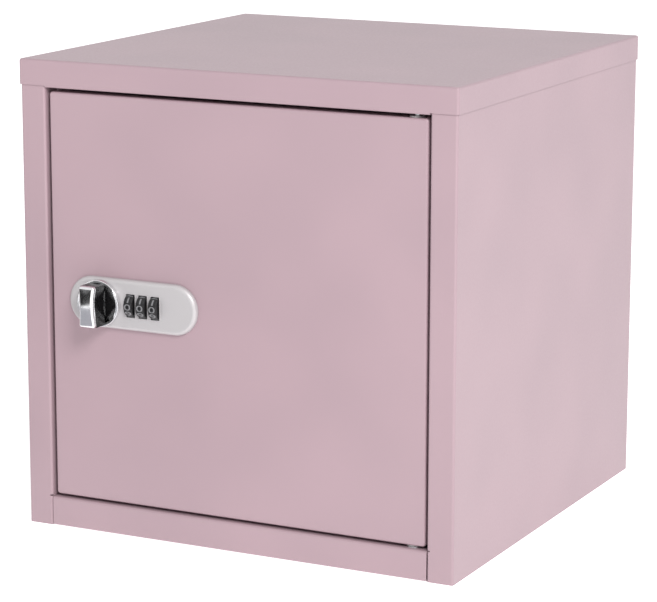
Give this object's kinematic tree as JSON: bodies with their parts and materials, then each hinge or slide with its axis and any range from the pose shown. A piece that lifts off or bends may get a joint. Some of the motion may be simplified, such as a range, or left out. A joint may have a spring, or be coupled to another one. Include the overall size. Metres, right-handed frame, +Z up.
{
  "type": "locker cabinet",
  "caption": "Cube-shaped sheet-steel locker with an inset hinged door, a combination cam lock with a turn knob, and holes for wall fixing.",
  "frame": {"origin": "middle of the underside, on the surface the locker stands on, half way across its width and half way along the body's depth", "axes": "+X to the right as seen from the front, -Y out of the door, +Z up"},
  "size_m": [0.35, 0.3666, 0.35],
  "materials": {
    "pink_powder_coat": "satin powder coat",
    "silver_lock_paint": "satin silver-grey paint on die-cast zinc",
    "knob_chrome": "polished chrome plate",
    "black_dish_plastic": "gloss black",
    "black_wheel_plastic": "satin black with light digits",
    "zinc_plated_steel": "bright zinc plate",
    "grey_nylon": "moulded grey nylon",
    "sleeve_brass": "turned",
    "bumper_rubber": "matte"
  },
  "bodies": {
    "cabinet": {"top_panel": "pink_powder_coat", "left_side_panel": "pink_powder_coat", "right_side_panel": "pink_powder_coat", "bottom_panel": "pink_powder_coat", "back_panel": "pink_powder_coat", "strike_plate": "pink_powder_coat", "upper_hinge_bracket": "pink_powder_coat", "lower_hinge_bracket": "pink_powder_coat", "back_panel_rivets": "zinc_plated_steel", "hinge_rivets": "zinc_plated_steel", "upper_hinge_pin": "zinc_plated_steel", "lower_hinge_pin": "zinc_plated_steel", "lower_hinge_washer": "zinc_plated_steel", "door_bumpers": "bumper_rubber"},
    "door": {"door_skin": "pink_powder_coat", "door_stiffener": "pink_powder_coat", "upper_hinge_bush": "grey_nylon", "lower_hinge_bush": "grey_nylon", "lock_faceplate": "silver_lock_paint", "lock_housing": "silver_lock_paint", "lock_rear_cover": "silver_lock_paint", "lock_screws": "zinc_plated_steel", "wheel_shaft": "zinc_plated_steel", "detent_spring": "zinc_plated_steel"},
    "knob": {"knob_base": "knob_chrome", "knob_dish": "black_dish_plastic", "knob_grip": "black_dish_plastic", "grip_cap": "knob_chrome", "lock_spindle": "zinc_plated_steel", "cam": "zinc_plated_steel", "cam_washer": "zinc_plated_steel", "cam_nut": "zinc_plated_steel"},
    "wheel_1": {"number_wheel_1": "black_wheel_plastic", "clutch_sleeve_1": "sleeve_brass"},
    "wheel_2": {"number_wheel_2": "black_wheel_plastic", "clutch_sleeve_2": "sleeve_brass"},
    "wheel_3": {"number_wheel_3": "black_wheel_plastic", "clutch_sleeve_3": "sleeve_brass"}
  },
  "joints": [
    {"name": "door_hinge", "type": "hinge", "parent": "cabinet", "child": "door", "pos_m": [0.1403, -0.1626, 0.175], "axis": [0, 0, 1], "range_deg": [0, 110]},
    {"name": "knob_turn", "type": "hinge", "parent": "door", "child": "knob", "pos_m": [-0.1084, -0.1736, 0.175], "axis": [0, 1, 0], "range_deg": [0, 90]},
    {"name": "wheel_1_spin", "type": "hinge", "parent": "door", "child": "wheel_1", "pos_m": [-0.0827, -0.1698, 0.175], "axis": [1, 0, 0], "continuous": true},
    {"name": "wheel_2_spin", "type": "hinge", "parent": "door", "child": "wheel_2", "pos_m": [-0.0725, -0.1698, 0.175], "axis": [1, 0, 0], "continuous": true},
    {"name": "wheel_3_spin", "type": "hinge", "parent": "door", "child": "wheel_3", "pos_m": [-0.0623, -0.1698, 0.175], "axis": [1, 0, 0], "continuous": true}
  ]
}
